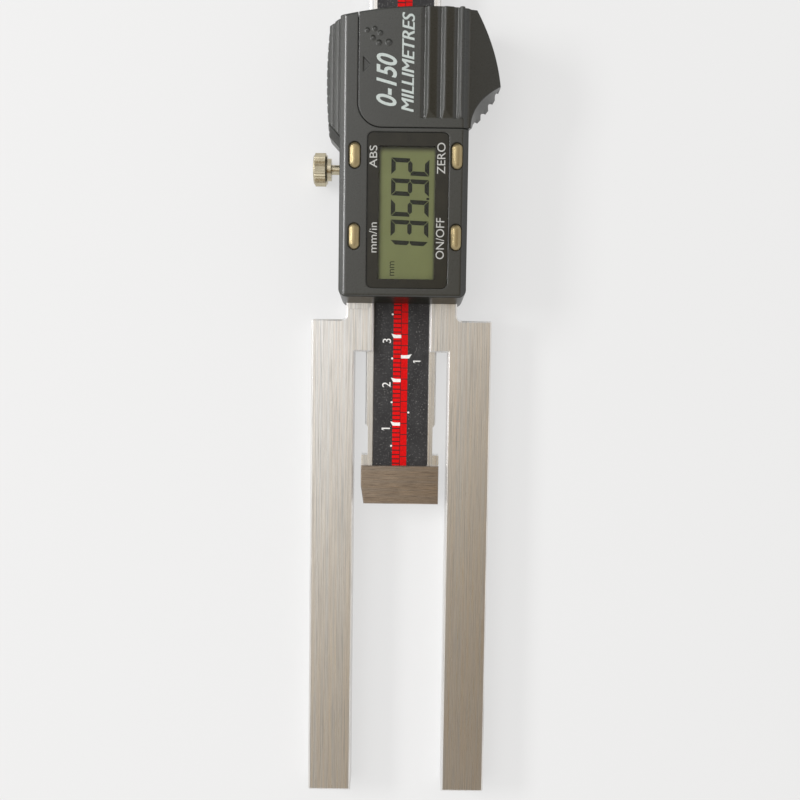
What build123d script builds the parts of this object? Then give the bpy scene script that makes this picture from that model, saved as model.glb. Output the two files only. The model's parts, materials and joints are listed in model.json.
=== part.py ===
from build123d import *
import os

# Digital caliper with fork legs, in millimetres. X runs across the beam, +Y along the beam away
# from the measuring foot, +Z out of the display. The origin lies on the flat back of the slider,
# on the beam's centreline, level with the shoulders of the two legs.

os.makedirs("parts", exist_ok=True)

# Beam
beam_width = 16.0
beam_thick = 3.5
beam_bevel = 0.3
head_step = 0.85             # T head that carries the foot, wider than the beam on each side
head_height = 11.1
relief_depth = 0.6           # grinding relief beside the T head
relief_length = 6.4
relief_ramp = 0.7
foot_height = 8.75
foot_proud = 1.25            # foot in front of the beam's rails
foot_taper_x = 0.65          # left flank, ground away towards the measuring face
foot_taper_y = 4.2
rail_width = 1.65            # each side of the groove for the scale
groove_depth = 0.8
scale_gap = 0.1              # each side of the scale
board_thick = 0.6
label_thick = 0.1
scale_end_margin = 3.0

# Slider fork
slide_gap = 0.05             # running gap all round the beam
lip_thick = 1.2              # front lips over the beam's rails
back_wall = 2.0
lip_setback = 0.025          # lips back from the inner edges of the rails
neck_wall = 3.35             # between the gib's pocket and the side of the neck
slider_length = 63.5         # from the leg shoulders to the upper end
crossbar_depth = 7.2         # from the leg shoulders to the root of the gap between the legs
leg_clear = 1.78             # each leg clear of the T head
leg_width = 9.75
leg_length = 109.5           # from the shoulders to the tips
shoulder_fillet = 1.2
root_fillet = 0.5
corner_fillet = 0.5
edge_break = 0.35
seat_depth = 0.15            # shallow seat for the housing on the left lip
seat_y = 2.4
seat_height = 4.0
seat_inset = 0.525           # from the lip's inner edge
seat_ramp = 0.5

# Travel
rest_gap = 23.6              # crossbar to T shoulder, as photographed
travel = 150.0
end_gap = 0.1
stop_height = 6.0
stop_thick = 1.2
stop_margin = 1.0
stop_screw_x = 4.5
foot_screw_x = 5.0

# Gib, its screws and the lock screw, all in the slider's left wall
gib_thick = 1.0
gib_height = 3.3
gib_start = 2.0
gib_end_gap = 5.5            # gib short of the slider's upper end
gib_play = 0.1
gib_screw_y = (14.0, 25.5)
set_screw_r = 1.0
screw_gap = 0.05
lock_drop = 7.1              # below the battery cover
lock_stud_r = 1.1
lock_gap = 0.07              # round the stud and its pad
lock_pad_length = 0.8
lock_travel = 0.25
lock_end_gap = 0.05
lock_tip_gap = 0.03
knob_r = 3.7
knob_length = 3.05
knob_out = 6.4               # end of the knob beyond the housing's side
collar_r = 2.5
collar_length = 0.9
knurl_count = 36
knurl_depth = 0.2
knob_bevel = 0.35

# Small countersunk screws
screw_r = 0.8
head_r = 1.5
head_depth = 0.7
drive_width = 0.4
drive_depth = 0.4
screw_low_y = 8.2
screw_rise = 3.0             # upper housing screws above the lower end of the cover
screw_reach = 3.6            # into the housing
boss_r = 1.9

# Housing
housing_front = 15.8
housing_skirt = 2.0          # height of the skirt's edge above the back
housing_low = 3.1            # lower end at the skirt
end_slope = 1.8              # how far the lower end leans back towards the front
housing_corner = 1.8
crown_left_rise = 0.8        # crowned upper end, above the end of the slider
crown_rise = 2.5
crown_right_rise = 2.5
crown_x = -4.0
side_bevel_x = 1.2            # bevels along both sides of the front
side_bevel_z = 1.0
front_round = 0.7
wall = 1.25
fit_gap = 0.1
front_wall = 1.4
cavity_low = 6.4
partition = 1.55
wiper_length = 2.0

# Finger grip on the left side
grip_out = 2.5               # beyond the housing's side
grip_drop_y = 3.8            # lower end of the grip below the cover
grip_ramp = 2.7
grip_rise = 0.6              # upper end of the grip above the end of the slider
grip_skirt = 3.2
grip_drop = 4.6              # front of the grip below the housing front
grip_step_x = 1.25
grip_step_z = 1.25
grip_bevel_x = 0.65
grip_bevel_z = 0.55
grip_step_count = 2
grip_bow = 0.6               # outer edge of the grip, bowed outwards
grip_steps_drop = 1.45       # lower end of the steps below the lower end of the cover
grip_steps_cut = 3.2
grip_top_cut = 1.7           # upper end of the grip slopes down outwards
notch_side = 0.7
notch_count = 12
notch_depth = 0.3

# Display
window_left_inset = 6.0      # from the housing's left side
window_right_inset = 4.15
window_low = 6.7
window_drop = 0.8            # upper edge below the battery cover
window_corner = 1.3
lens_recess = 0.2
lens_thick = 0.75
lens_gap = 0.08
lens_ledge = 1.7
lcd_drop = 0.25              # middle of the glass below the middle of the window
lcd_side_inset = 1.275       # glass inside the window's outline
lcd_end_inset = 1.45
lcd_thick = 2.2
lcd_gap = 0.15
lcd_contact_edge = 2.9
frame_wall = 0.9
contact_strip_width = 1.8
contact_strip_margin = 1.8   # between the strip's ends and the frame
board_gap = 0.3              # to the cavity's walls
board_low = 10.6
board_tongue_gap = 0.5       # to the screw bosses
board_tongue_low = 6.9
main_board_thick = 1.0
sensor_gap = 0.175           # to the lips
sensor_end_gap = 1.45        # to the ends of the electronics' cavity
sensor_thick = 1.0
chip_r = 3.0
chip_height = 1.2

# Buttons
button_width = 2.3
button_length = 5.5
button_proud = 0.8
button_travel = 0.3
button_gap = 0.15
button_stop_gap = 0.05
button_flange = 0.9          # added length at each end, inside
button_flange_thick = 1.15
button_bevel = 0.7
button_left_inset = 3.33     # from the housing's left side
button_right_inset = 2.47
button_drop = 5.8            # upper buttons below the battery cover
button_low_y = 17.75
keypad_width = 2.2
keypad_margin = 3.4
keypad_skin = 0.6
keypad_wall = 0.4
plunger_r = 0.5
plunger_gap = 0.4

# Battery bay and its cover
battery_r = 10.0
battery_thick = 3.2
bay_side_gap = 0.4           # seal to the side of the neck
bay_drop = 11.25             # middle of the battery below the top of the bay
battery_gap = 0.1
battery_head_gap = 0.5
battery_step = 0.6
contact_thick = 0.25
contact_width = 3.0
contact_lift = 0.7
contact_foot = 0.7
contact_spread = 5.5         # minus contact, beside the plus contact in the middle
contact_rise = 2.6
contact_lean = 0.3
pocket_play = 0.25
seal_offset = 0.15
seal_width = 0.6
seal_depth = 0.6
cover_margin = 0.56          # cover's left edge beyond the seal
cover_drop = 12.05           # cover's lower end below the middle of the battery
cover_corner = 5.2
cover_gap = 0.18
cover_thick = 1.2
cover_seat_gap = 0.05
bay_rise = 0.6               # top of the bay above the end of the slider
tongue_inset = 6.06          # from the cover's left edge
tongue_depth = 0.85
tongue_thick = 0.7
tongue_drop = 0.3
tongue_web = 0.6
top_tongue_depth = 0.45
top_tongue_drop = 5.0
cover_top_drop = 5.5
cover_skirt = 3.8

# Thumb ramps and thumb rest of the cover
ramp_inset = (9.68, 6.2, 2.71)     # foot of each flank, from the housing's right side
ramp_end_inset = 1.25
ramp_valley = 0.8            # groove before each flank
ramp_length = 2.6
ramp_height = 0.35           # above the front, and below it in the groove
ramp_flank = 0.35
ramp_rise = 2.2              # lower end of the ramps above the lower end of the cover
ramp_top_rise = 2.7          # upper end of the ramps above the end of the slider
ramp_root_rise = 1.8         # where their ridges on the top wall start inside it
ramp_runout = 3.5
rest_tip_out = 6.6           # beyond the housing's side
rest_tip_rise = 9.0          # above the lower end of the cover
rest_top_out = 1.35
rest_top_rise = 2.35         # above the end of the slider
rest_back_out = 0.35         # how far the rest flares towards its back
rest_back_tip_out = 1.06
rest_back_tip_up = 2.4
rest_back_lift = 1.6
rest_bow = 0.9
scoop_bow = 1.95             # hollow at the front, full at the back
scoop_back_bow = 0.85
scoop_end_out = 0.4
rest_front_drop = 0.7        # below the housing front at the root
rest_tip_drop = 3.3
ridge_count = 4
ridge_r = 0.8
ridge_drop = 4.4
rest_wall = 1.8
pocket_drop = 5.2
arrow_width = 1.5
arrow_height = 3.2
arrow_depth = 0.4
arrow_inset = 1.16           # from the cover's left edge
arrow_rise = 13.3            # above the lower end of the cover
bump_r = (0.55, 0.55, 0.6, 0.6, 0.65, 0.75)
bump_height = 0.4
bump_sides = 8
bump_taper = 45
bump_inset = (1.96, 3.56, 4.76, 3.16, 4.46, 6.56)
bump_rise = (20.4, 20.7, 19.8, 18.8, 17.8, 17.9)

# Levels and positions that follow from the sizes above
head_width = beam_width + 2 * head_step
groove_width = beam_width - 2 * rail_width
scale_width = groove_width - 2 * scale_gap
lip_opening = groove_width + 2 * lip_setback
leg_gap = head_width + 2 * leg_clear
beam_back_z = back_wall + slide_gap
beam_front_z = beam_back_z + beam_thick
frame_front = beam_front_z + slide_gap + lip_thick
beam_mid_z = (beam_back_z + beam_front_z) / 2
groove_floor = beam_front_z - groove_depth
channel_half = beam_width / 2 + slide_gap
fork_half = leg_gap / 2 + leg_width
head_top = -crossbar_depth - rest_gap
foot_end = head_top - head_height
foot_top = foot_end + foot_height
travel_in = rest_gap - end_gap
travel_out = travel - travel_in
stop_low = slider_length + travel_out + end_gap
beam_end = stop_low + stop_height + stop_margin
gib_outer_x = channel_half + gib_thick
lock_bore_r = lock_stud_r + lock_gap
label_front = groove_floor + board_thick + label_thick
pocket_x = gib_outer_x + gib_play
gib_length = slider_length - gib_start - gib_end_gap
neck_width = 2 * (pocket_x + neck_wall)
housing_half = neck_width / 2 + fit_gap + wall
seat_inner_x = lip_opening / 2 + seat_inset
bay_r = battery_r + battery_gap
seal_r = bay_r + seal_offset + seal_width
bay_top = slider_length + bay_rise
battery_x = neck_width / 2 + fit_gap - bay_side_gap - seal_r
battery_y = bay_top - bay_drop
cover_left = battery_x - seal_r - cover_margin
cover_low = battery_y - cover_drop
tongue_x = cover_left + tongue_inset
lock_y = cover_low - lock_drop
screw_x = (pocket_x + neck_width / 2) / 2
screw_y = (screw_low_y, cover_low + screw_rise)
ceiling = housing_front - front_wall
grip_front = housing_front - grip_drop
grip_x = housing_half + grip_out
grip_low = cover_low - grip_drop_y
grip_top = slider_length + grip_rise
grip_steps_low = cover_low - grip_steps_drop
knob_outer_x = housing_half + knob_out
cavity_high = cover_low - partition
cavity_half = housing_half - wall
board_front = frame_front + main_board_thick
board_high = cavity_high - board_gap
board_width = 2 * (cavity_half - board_gap)
board_tongue = 2 * (screw_x - boss_r - board_tongue_gap)
sensor_width = lip_opening - 2 * sensor_gap
window_width = 2 * housing_half - window_left_inset - window_right_inset
window_height = cover_low - window_drop - window_low
window_x = (window_left_inset - window_right_inset) / 2
window_y = window_low + window_height / 2
lcd_x = window_x
lcd_y = window_y - lcd_drop
lcd_width = window_width - 2 * lcd_side_inset
lcd_height = window_height - 2 * lcd_end_inset
button_left_x = button_left_inset - housing_half
button_right_x = housing_half - button_right_inset
button_high_y = cover_low - button_drop
ledge_z = housing_front - lens_recess - lens_thick
lcd_front = ceiling - lcd_gap
lcd_back = lcd_front - lcd_thick
cover_under = housing_front - cover_thick
bay_rim = cover_under - cover_seat_gap
battery_top = bay_rim - battery_head_gap
battery_low = battery_top - battery_thick
bay_floor = battery_low - contact_lift
cover_side_x = housing_half - wall
top_tongue_z = housing_front - top_tongue_drop
cover_top_low = housing_front - cover_top_drop
ridge_top = housing_front - ridge_drop
rest_tip_x = housing_half + rest_tip_out
rest_tip_y = cover_low + rest_tip_rise
rest_top_x = housing_half + rest_top_out
rest_top_y = slider_length + rest_top_rise
scoop_end_x = housing_half + scoop_end_out
ramp_low = cover_low + ramp_rise
ramp_high = slider_length + ramp_top_rise
ramp_root_y = slider_length + ramp_root_rise
pocket_top = housing_front - pocket_drop
plus_x = battery_x
minus_x = battery_x + contact_spread
button_top = housing_front + button_proud
button_stop = ceiling - button_stop_gap
button_low_z = button_stop - button_flange_thick
keypad_top = button_low_z - button_travel - button_stop_gap


AT_BASE = (Align.CENTER, Align.CENTER, Align.MIN)


def countersunk_screws(places, head_z, length):
    """Screws along +Z, their countersunk cross-drive heads at head_z."""
    with Locations([(x, y, head_z) for x, y in places]):
        Cone(head_r, screw_r, head_depth, align=AT_BASE)
        Cylinder(screw_r, length, align=AT_BASE)
        Box(2 * screw_r, drive_width, drive_depth, align=AT_BASE, mode=Mode.SUBTRACT)
        Box(drive_width, 2 * screw_r, drive_depth, align=AT_BASE, mode=Mode.SUBTRACT)


def screw_holes(places, head_z, length):
    """Clearance holes and countersinks for those screws."""
    with Locations([(x, y, head_z) for x, y in places]):
        Cone(head_r + screw_gap, screw_r + screw_gap, head_depth, align=AT_BASE, mode=Mode.SUBTRACT)
        Cylinder(screw_r + screw_gap, length, align=AT_BASE, mode=Mode.SUBTRACT)


housing_screw_places = [(side * screw_x, y) for y in screw_y for side in (-1, 1)]
stop_screw_places = [(side * stop_screw_x, stop_low + stop_height / 2) for side in (-1, 1)]
foot_screw_places = [(side * foot_screw_x, foot_end + foot_height / 2) for side in (-1, 1)]

# Slider fork: one steel plate with both legs, the crossbar and the C-shaped guide for the beam
with BuildPart() as slider_fork:
    with BuildSketch():
        with BuildLine():
            Polyline((leg_gap / 2, -crossbar_depth), (leg_gap / 2, -leg_length), (fork_half, -leg_length),
                     (fork_half, 0), (neck_width / 2, 0), (neck_width / 2, slider_length),
                     (-neck_width / 2, slider_length), (-neck_width / 2, 0), (-fork_half, 0),
                     (-fork_half, -leg_length), (-leg_gap / 2, -leg_length),
                     (-leg_gap / 2, -crossbar_depth), close=True)
        make_face()
        fillet(vertices().filter_by(lambda v: abs(v.Y) < edge_break and abs(v.X) < fork_half - edge_break),
               radius=shoulder_fillet)
        fillet(vertices().filter_by_position(Axis.Y, -crossbar_depth, -crossbar_depth), radius=root_fillet)
        fillet(vertices().filter_by(lambda v: abs(v.X) > fork_half - edge_break), radius=corner_fillet)
    extrude(amount=frame_front)
    with BuildSketch(Plane.XY.offset(back_wall)):
        with Locations((0, (slider_length - crossbar_depth) / 2)):
            Rectangle(2 * channel_half, slider_length + crossbar_depth)
    extrude(amount=beam_thick + 2 * slide_gap, mode=Mode.SUBTRACT)
    with BuildSketch(Plane.XY.offset(frame_front - lip_thick)):
        with Locations((0, (slider_length - crossbar_depth) / 2)):
            Rectangle(lip_opening, slider_length + crossbar_depth)
    extrude(amount=lip_thick, mode=Mode.SUBTRACT)
    chamfer(slider_fork.faces().group_by(Axis.Z)[-1].edges(), length=edge_break)
    with BuildSketch(Plane.XY.offset(frame_front)):
        with BuildLine():
            Polyline((-neck_width / 2, seat_y), (-seat_inner_x - seat_ramp, seat_y),
                     (-seat_inner_x, seat_y + 2 * seat_ramp), (-seat_inner_x, seat_y + seat_height),
                     (-neck_width / 2, seat_y + seat_height), close=True)
        make_face()
    extrude(amount=-seat_depth, mode=Mode.SUBTRACT)
    with BuildSketch(Plane.XY.offset(back_wall)):
        with Locations((-(channel_half + pocket_x) / 2, gib_start + gib_length / 2)):
            Rectangle(pocket_x - channel_half, gib_length + 2 * gib_play)
    extrude(amount=beam_thick + 2 * slide_gap, mode=Mode.SUBTRACT)
    for y in gib_screw_y:
        with Locations(Plane((-neck_width / 2, y, beam_mid_z), z_dir=(-1, 0, 0))):
            Hole(radius=set_screw_r + screw_gap, depth=neck_width / 2 - channel_half)
    with Locations(Plane((-neck_width / 2, lock_y, beam_mid_z), z_dir=(-1, 0, 0))):
        Hole(radius=lock_bore_r, depth=neck_width / 2 - channel_half)
    screw_holes(housing_screw_places, 0, frame_front)
slider_fork.part.label = "slider_fork"
export_step(slider_fork.part, "parts/slider_fork.step")

# Gib strip, pressed towards the beam by two set screws
with BuildPart() as gib_strip:
    with BuildSketch(Plane.XY.offset(beam_mid_z - gib_height / 2)):
        with Locations((-(channel_half + gib_outer_x) / 2, gib_start + gib_length / 2)):
            Rectangle(gib_thick, gib_length)
    extrude(amount=gib_height)
    chamfer(gib_strip.edges().filter_by(Axis.Z), length=edge_break)
gib_strip.part.label = "gib_strip"
export_step(gib_strip.part, "parts/gib_strip.step")

with BuildPart() as gib_screws:
    for y in gib_screw_y:
        with BuildSketch(Plane((-gib_outer_x, y, beam_mid_z), z_dir=(-1, 0, 0))):
            Circle(set_screw_r)
        extrude(amount=neck_width / 2 - gib_outer_x - edge_break)
        with BuildSketch(Plane((-neck_width / 2 + edge_break, y, beam_mid_z), z_dir=(-1, 0, 0))):
            Rectangle(2 * set_screw_r, drive_width)
        extrude(amount=-drive_depth, mode=Mode.SUBTRACT)
gib_screws.part.label = "gib_screws"
export_step(gib_screws.part, "parts/gib_screws.step")

# Beam: ground bar with the T head, grinding reliefs and the groove for the scale
with BuildPart() as beam:
    with BuildSketch(Plane.XY.offset(beam_back_z)):
        with BuildLine():
            Polyline((-head_width / 2 + foot_taper_x, foot_end), (head_width / 2, foot_end),
                     (head_width / 2, head_top), (beam_width / 2 - relief_depth, head_top),
                     (beam_width / 2 - relief_depth, head_top + relief_length),
                     (beam_width / 2, head_top + relief_length + relief_ramp),
                     (beam_width / 2, beam_end), (-beam_width / 2, beam_end),
                     (-beam_width / 2, head_top + relief_length + relief_ramp),
                     (-beam_width / 2 + relief_depth, head_top + relief_length),
                     (-beam_width / 2 + relief_depth, head_top), (-head_width / 2, head_top),
                     (-head_width / 2, foot_end + foot_taper_y), close=True)
        make_face()
    extrude(amount=beam_thick)
    bar_edges = beam.faces().sort_by(Axis.Z)[-1].edges().filter_by(Axis.Y)
    chamfer(bar_edges.sort_by(SortBy.LENGTH)[-2:], length=beam_bevel)
    chamfer(beam.edges().filter_by(Axis.Z).group_by(Axis.Y)[-1], length=beam_bevel)
    with BuildSketch(Plane.XY.offset(groove_floor)):
        with Locations((0, (foot_top + beam_end) / 2)):
            Rectangle(groove_width, beam_end - foot_top)
    extrude(amount=groove_depth, mode=Mode.SUBTRACT)
    screw_holes(foot_screw_places, beam_back_z, beam_thick)
    with Locations([(x, y, beam_back_z) for x, y in stop_screw_places]):
        Cylinder(screw_r + screw_gap, groove_floor - beam_back_z - wall, align=AT_BASE,
                 mode=Mode.SUBTRACT)
beam.part.label = "beam"
export_step(beam.part, "parts/beam.step")

# Scale: board with the measuring pattern and the printed label over it
scale_low = foot_top
scale_high = beam_end - scale_end_margin
with BuildPart() as scale_board:
    with BuildSketch(Plane.XY.offset(groove_floor)):
        with Locations((0, (scale_low + scale_high) / 2)):
            Rectangle(scale_width, scale_high - scale_low)
    extrude(amount=board_thick)
scale_board.part.label = "scale_board"
export_step(scale_board.part, "parts/scale_board.step")

with BuildPart() as scale_label:
    with BuildSketch(Plane.XY.offset(groove_floor + board_thick)):
        with Locations((0, (scale_low + scale_high) / 2)):
            Rectangle(scale_width, scale_high - scale_low)
    extrude(amount=label_thick)
scale_label.part.label = "scale_label"
export_step(scale_label.part, "parts/scale_label.step")

# Measuring foot: block on the front of the T head, flush with it at the measuring face
with BuildPart() as measuring_foot:
    with BuildSketch(Plane.XY.offset(beam_front_z)):
        with BuildLine():
            Polyline((-head_width / 2 + foot_taper_x, foot_end), (head_width / 2, foot_end),
                     (head_width / 2, foot_top), (-head_width / 2, foot_top),
                     (-head_width / 2, foot_end + foot_taper_y), close=True)
        make_face()
    extrude(amount=foot_proud)
    chamfer(measuring_foot.faces().sort_by(Axis.Z)[-1].edges(), length=edge_break / 2)
    with Locations([(x, y, beam_front_z) for x, y in foot_screw_places]):
        Cylinder(screw_r + screw_gap, foot_proud / 2, align=AT_BASE, mode=Mode.SUBTRACT)
measuring_foot.part.label = "measuring_foot"
export_step(measuring_foot.part, "parts/measuring_foot.step")

with BuildPart() as foot_screws:
    countersunk_screws(foot_screw_places, beam_back_z, beam_thick + foot_proud / 2)
foot_screws.part.label = "foot_screws"
export_step(foot_screws.part, "parts/foot_screws.step")

# End stop: plate across the back of the beam's far end, which meets the end of the slider
with BuildPart() as end_stop:
    with BuildSketch(Plane.XY.offset(beam_back_z - stop_thick)) as end_stop_plan:
        with Locations((0, stop_low + stop_height / 2)):
            Rectangle(beam_width, stop_height)
        chamfer(end_stop_plan.vertices(), length=corner_fillet)
    extrude(amount=stop_thick)
    screw_holes(stop_screw_places, beam_back_z - stop_thick, stop_thick)
end_stop.part.label = "end_stop"
export_step(end_stop.part, "parts/end_stop.step")

with BuildPart() as end_stop_screws:
    countersunk_screws(stop_screw_places, beam_back_z - stop_thick,
                       stop_thick + groove_floor - beam_back_z - wall)
end_stop_screws.part.label = "end_stop_screws"
export_step(end_stop_screws.part, "parts/end_stop_screws.step")

# Outer form of the electronics module, which the housing and the battery cover share
with BuildPart() as module_form:
    with BuildSketch(Plane.XY.offset(housing_skirt)):
        with BuildLine():
            low = Polyline((-housing_half, slider_length + crown_left_rise), (-housing_half, housing_low),
                           (housing_half, housing_low), (housing_half, slider_length + crown_right_rise))
            ThreePointArc(low @ 1, (crown_x, slider_length + crown_rise), low @ 0)
        make_face()
    extrude(amount=housing_front - housing_skirt)
    with BuildSketch(Plane.YZ):
        with BuildLine():
            Polyline((housing_low, housing_skirt), (housing_low + end_slope, housing_front),
                     (housing_low - end_slope, housing_front), (housing_low - end_slope, housing_skirt),
                     close=True)
        make_face()
    extrude(amount=housing_half, both=True, mode=Mode.SUBTRACT)
    end_edges = module_form.faces().sort_by(Axis.Y)[0].edges().sort_by(Axis.X)
    fillet([end_edges[0], end_edges[-1]], radius=housing_corner)
    with BuildSketch(Plane.XZ):
        for side in (-1, 1):
            with BuildLine():
                Polyline((side * housing_half, housing_front - side_bevel_z),
                         (side * (housing_half - side_bevel_x), housing_front),
                         (side * housing_half, housing_front), close=True)
            make_face()
    extrude(amount=2 * slider_length, both=True, mode=Mode.SUBTRACT)
    fillet(module_form.faces().sort_by(Axis.Z)[-1].edges(), radius=front_round)

# Plan of the battery cover on the front of the module
with BuildSketch() as cover_plan:
    with Locations((cover_left, cover_low)):
        Rectangle(2 * housing_half - cover_left, 2 * housing_half,
                  align=(Align.MIN, Align.MIN))
    fillet(cover_plan.vertices().sort_by(Axis.Y)[:2].sort_by(Axis.X)[0], radius=cover_corner)

# Housing: moulding that wraps the slider's neck, open at the back
with BuildPart() as housing:
    add(module_form.part)
    with BuildSketch(Plane.XY.offset(grip_skirt)):
        with BuildLine():
            grip_edge = SagittaArc((-grip_x, grip_low + grip_ramp), (-grip_x, grip_top - grip_step_x),
                                   grip_bow)
            Polyline(grip_edge @ 1, (-grip_x + grip_step_x, grip_top), (-housing_half + wall, grip_top),
                     (-housing_half + wall, grip_low), (-housing_half, grip_low), grip_edge @ 0)
        make_face()
    extrude(amount=grip_front - grip_skirt)
    with BuildSketch(Plane.XZ.offset(-grip_top)):
        with BuildLine():
            steps = [(-housing_half + wall, grip_front)]
            for step in range(grip_step_count):
                level = grip_front + step * grip_step_z
                reach = housing_half + (grip_step_count - step) * grip_step_x
                steps += [(-reach, level), (-reach, level + grip_step_z - grip_bevel_z),
                          (-reach + grip_bevel_x, level + grip_step_z)]
            steps.append((-housing_half + wall, grip_front + grip_step_count * grip_step_z))
            Polyline(*steps, close=True)
        make_face()
    extrude(amount=grip_top - grip_steps_low)
    with BuildSketch(Plane.XY.offset(grip_front)):
        with BuildLine():
            Polyline((-housing_half, grip_steps_low), (-grip_x - grip_step_x, grip_steps_low),
                     (-grip_x - grip_step_x, grip_steps_low + grip_steps_cut + grip_step_x),
                     close=True)
        make_face()
    extrude(amount=grip_step_count * grip_step_z, mode=Mode.SUBTRACT)
    with BuildSketch(Plane.XY.offset(grip_skirt)):
        with BuildLine():
            Polyline((-housing_half, grip_top), (-grip_x - grip_step_x, grip_top),
                     (-grip_x - grip_step_x, grip_top - grip_top_cut), close=True)
        make_face()
    extrude(amount=housing_front - grip_skirt, mode=Mode.SUBTRACT)
    with Locations([grip_edge @ ((i + 0.5) / notch_count) + Vector(notch_depth - notch_side / 2 ** 0.5, 0, 0)
                    for i in range(notch_count)]):
        Box(notch_side, notch_side, grip_front, rotation=(0, 0, 45), align=AT_BASE, mode=Mode.SUBTRACT)
    # Room for the slider's neck, for the electronics and for the battery
    with BuildSketch(Plane.XY):
        Rectangle(neck_width + 2 * fit_gap, 4 * slider_length)
    extrude(amount=frame_front, mode=Mode.SUBTRACT)
    with BuildSketch(Plane.XY.offset(frame_front)):
        with Locations((0, (cavity_low + cavity_high) / 2)):
            Rectangle(2 * cavity_half, cavity_high - cavity_low)
    extrude(amount=ceiling - frame_front, mode=Mode.SUBTRACT)
    with BuildSketch(Plane.XY.offset(frame_front)):
        with Locations(*[(x, screw_y[0]) for x in (-screw_x, screw_x)]):
            Circle(boss_r)
    extrude(amount=screw_reach + main_board_thick)
    with BuildSketch(Plane.XY.offset(frame_front)):
        with Locations(*housing_screw_places):
            Circle(screw_r + screw_gap)
    extrude(amount=screw_reach, mode=Mode.SUBTRACT)
    # Cover's place: its front plate, side wall and top wall
    with BuildSketch(Plane.XY.offset(bay_rim)):
        add(cover_plan.sketch)
    extrude(amount=cover_thick + cover_seat_gap, mode=Mode.SUBTRACT)
    with BuildSketch(Plane.XY.offset(housing_skirt)):
        with Locations((neck_width / 2, cover_low)):
            Rectangle(housing_half, 2 * housing_half, align=(Align.MIN, Align.MIN))
        with Locations((cover_left, bay_top)):
            Rectangle(2 * housing_half - cover_left, housing_half, align=(Align.MIN, Align.MIN))
    extrude(amount=housing_front, mode=Mode.SUBTRACT)
    with BuildSketch(Plane.XY.offset(bay_floor)):
        with Locations((battery_x, battery_y)):
            Circle(bay_r)
    extrude(amount=bay_rim - bay_floor, mode=Mode.SUBTRACT)
    with BuildSketch(Plane.XY.offset(bay_rim - seal_depth)):
        with Locations((battery_x, battery_y)):
            Circle(seal_r)
            Circle(seal_r - seal_width, mode=Mode.SUBTRACT)
    extrude(amount=seal_depth, mode=Mode.SUBTRACT)
    # Slots through the partition for the battery contacts, and room behind the upright one
    with BuildSketch(Plane.XY.offset(bay_floor)):
        for x in (plus_x, minus_x):
            with Locations((x, (cavity_high + battery_y) / 2)):
                Rectangle(contact_width + 2 * fit_gap, battery_y - cavity_high)
    extrude(amount=2 * contact_thick, mode=Mode.SUBTRACT)
    with BuildSketch(Plane.XY.offset(bay_floor)):
        with Locations((plus_x, battery_y - battery_r)):
            Rectangle(contact_width + 2 * fit_gap, 2 * (contact_thick + contact_lean + pocket_play))
    extrude(amount=contact_rise + fit_gap, mode=Mode.SUBTRACT)
    # Grooves in which the cover's tongues run
    with BuildSketch(Plane.XY.offset(bay_rim - tongue_drop - tongue_thick - cover_gap)):
        with Locations((tongue_x - cover_gap, cover_low - tongue_depth)):
            Rectangle(2 * housing_half, tongue_depth + tongue_web + cover_gap, align=(Align.MIN, Align.MIN))
    extrude(amount=tongue_thick + 2 * cover_gap, mode=Mode.SUBTRACT)
    with BuildSketch(Plane.XY.offset(bay_rim - tongue_drop)):
        with Locations((tongue_x - cover_gap, cover_low)):
            Rectangle(2 * housing_half, tongue_web + cover_gap, align=(Align.MIN, Align.MIN))
    extrude(amount=tongue_drop, mode=Mode.SUBTRACT)
    with BuildSketch(Plane.XY.offset(top_tongue_z - cover_gap)):
        with Locations((tongue_x - cover_gap, bay_top - top_tongue_depth - cover_gap)):
            Rectangle(2 * housing_half, 2 * top_tongue_depth, align=(Align.MIN, Align.MIN))
    extrude(amount=tongue_thick + 2 * cover_gap, mode=Mode.SUBTRACT)
    # Window and button holes
    with BuildSketch(Plane.XY.offset(ledge_z)):
        with Locations((window_x, window_y)):
            RectangleRounded(window_width, window_height, window_corner)
    extrude(amount=housing_front - ledge_z, mode=Mode.SUBTRACT)
    with BuildSketch(Plane.XY.offset(ceiling)):
        with Locations((window_x, window_y)):
            Rectangle(window_width - 2 * lens_ledge, window_height - 2 * lens_ledge)
    extrude(amount=ledge_z - ceiling, mode=Mode.SUBTRACT)
    with BuildSketch(Plane.XY.offset(ceiling)):
        for x in (button_left_x, button_right_x):
            with Locations((x, button_high_y), (x, button_low_y)):
                SlotOverall(button_length + 2 * button_gap, button_width + 2 * button_gap, rotation=90)
    extrude(amount=front_wall, mode=Mode.SUBTRACT)
    # Notch for the lock screw's stud and access holes to the gib screws
    with BuildSketch(Plane((-housing_half, lock_y, beam_mid_z), x_dir=(0, 1, 0), z_dir=(-1, 0, 0))):
        Circle(lock_bore_r + fit_gap)
        Rectangle(2 * (lock_bore_r + fit_gap), 2 * beam_mid_z,
                  align=(Align.CENTER, Align.MIN))
    extrude(amount=-2 * wall, mode=Mode.SUBTRACT)
    for y in gib_screw_y:
        with Locations(Plane((-housing_half, y, beam_mid_z), z_dir=(-1, 0, 0))):
            Hole(radius=set_screw_r + fit_gap, depth=2 * wall)
housing.part.label = "housing"
export_step(housing.part, "parts/housing.step")

with BuildPart() as housing_screws:
    countersunk_screws(housing_screw_places, 0, frame_front + screw_reach - fit_gap)
housing_screws.part.label = "housing_screws"
export_step(housing_screws.part, "parts/housing_screws.step")

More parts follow.
